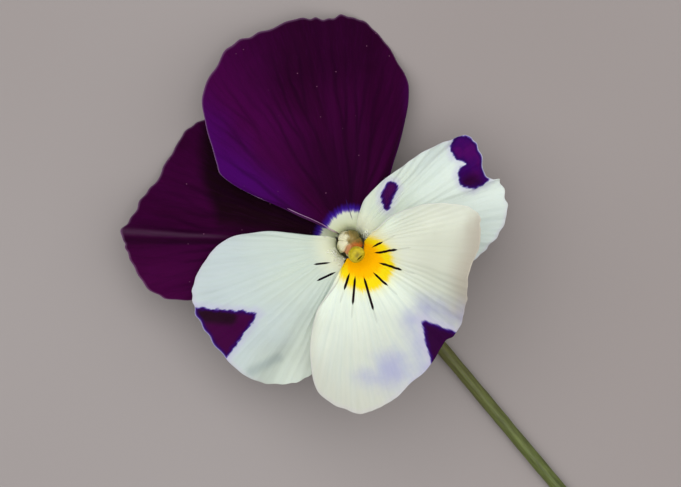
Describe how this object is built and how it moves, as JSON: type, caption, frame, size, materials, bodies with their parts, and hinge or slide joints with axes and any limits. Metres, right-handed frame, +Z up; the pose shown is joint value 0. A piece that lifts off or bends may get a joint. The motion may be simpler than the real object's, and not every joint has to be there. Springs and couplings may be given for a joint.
{
  "type": "viola flower",
  "caption": "Cut viola flower lying face up: velvety dark purple upper petals, white side and lower petals with purple patches, a yellow throat and a slender green stem.",
  "frame": {"origin": "on the surface that the flower lies on, under the middle of its bounding box", "axes": "+X along the stem from the flower to the cut end, +Y across the flower towards its upper right petal, +Z up, out of the flower's face"},
  "size_m": [0.0796, 0.0332, 0.0165],
  "materials": {
    "petal_purple": "velvety dark purple petal with darker veins and a white, blue-edged base",
    "petal_white": "matte creamy white petal with fine veins and a crisp purple patch at the rim",
    "petal_white_yellow": "matte creamy white petal with an orange-yellow throat and dark guide lines",
    "stem_green": "satin olive green stem, faintly ridged and browner near the flower",
    "sepal_green": "matte green leaf tissue with a paler midrib and thin pale edges",
    "anther_cream": "cream pollen sacs with orange-brown papery tips",
    "stigma_olive": "moist yellow-green stigma with a dark hollow"
  },
  "bodies": {
    "root": {"petal_upper_left": "petal_purple", "petal_upper_right": "petal_purple", "petal_side_left": "petal_white", "petal_side_right": "petal_white", "petal_lower": "petal_white_yellow", "stem": "stem_green", "sepal_top": "sepal_green", "sepal_upper_left": "sepal_green", "sepal_upper_right": "sepal_green", "sepal_lower_left": "sepal_green", "sepal_lower_right": "sepal_green", "stamen_top": "anther_cream", "stamen_upper_left": "anther_cream", "stamen_upper_right": "anther_cream", "stamen_lower_left": "anther_cream", "stamen_lower_right": "anther_cream", "pistil": "stigma_olive", "bracteole_left": "sepal_green", "bracteole_right": "sepal_green"}
  },
  "joints": []
}
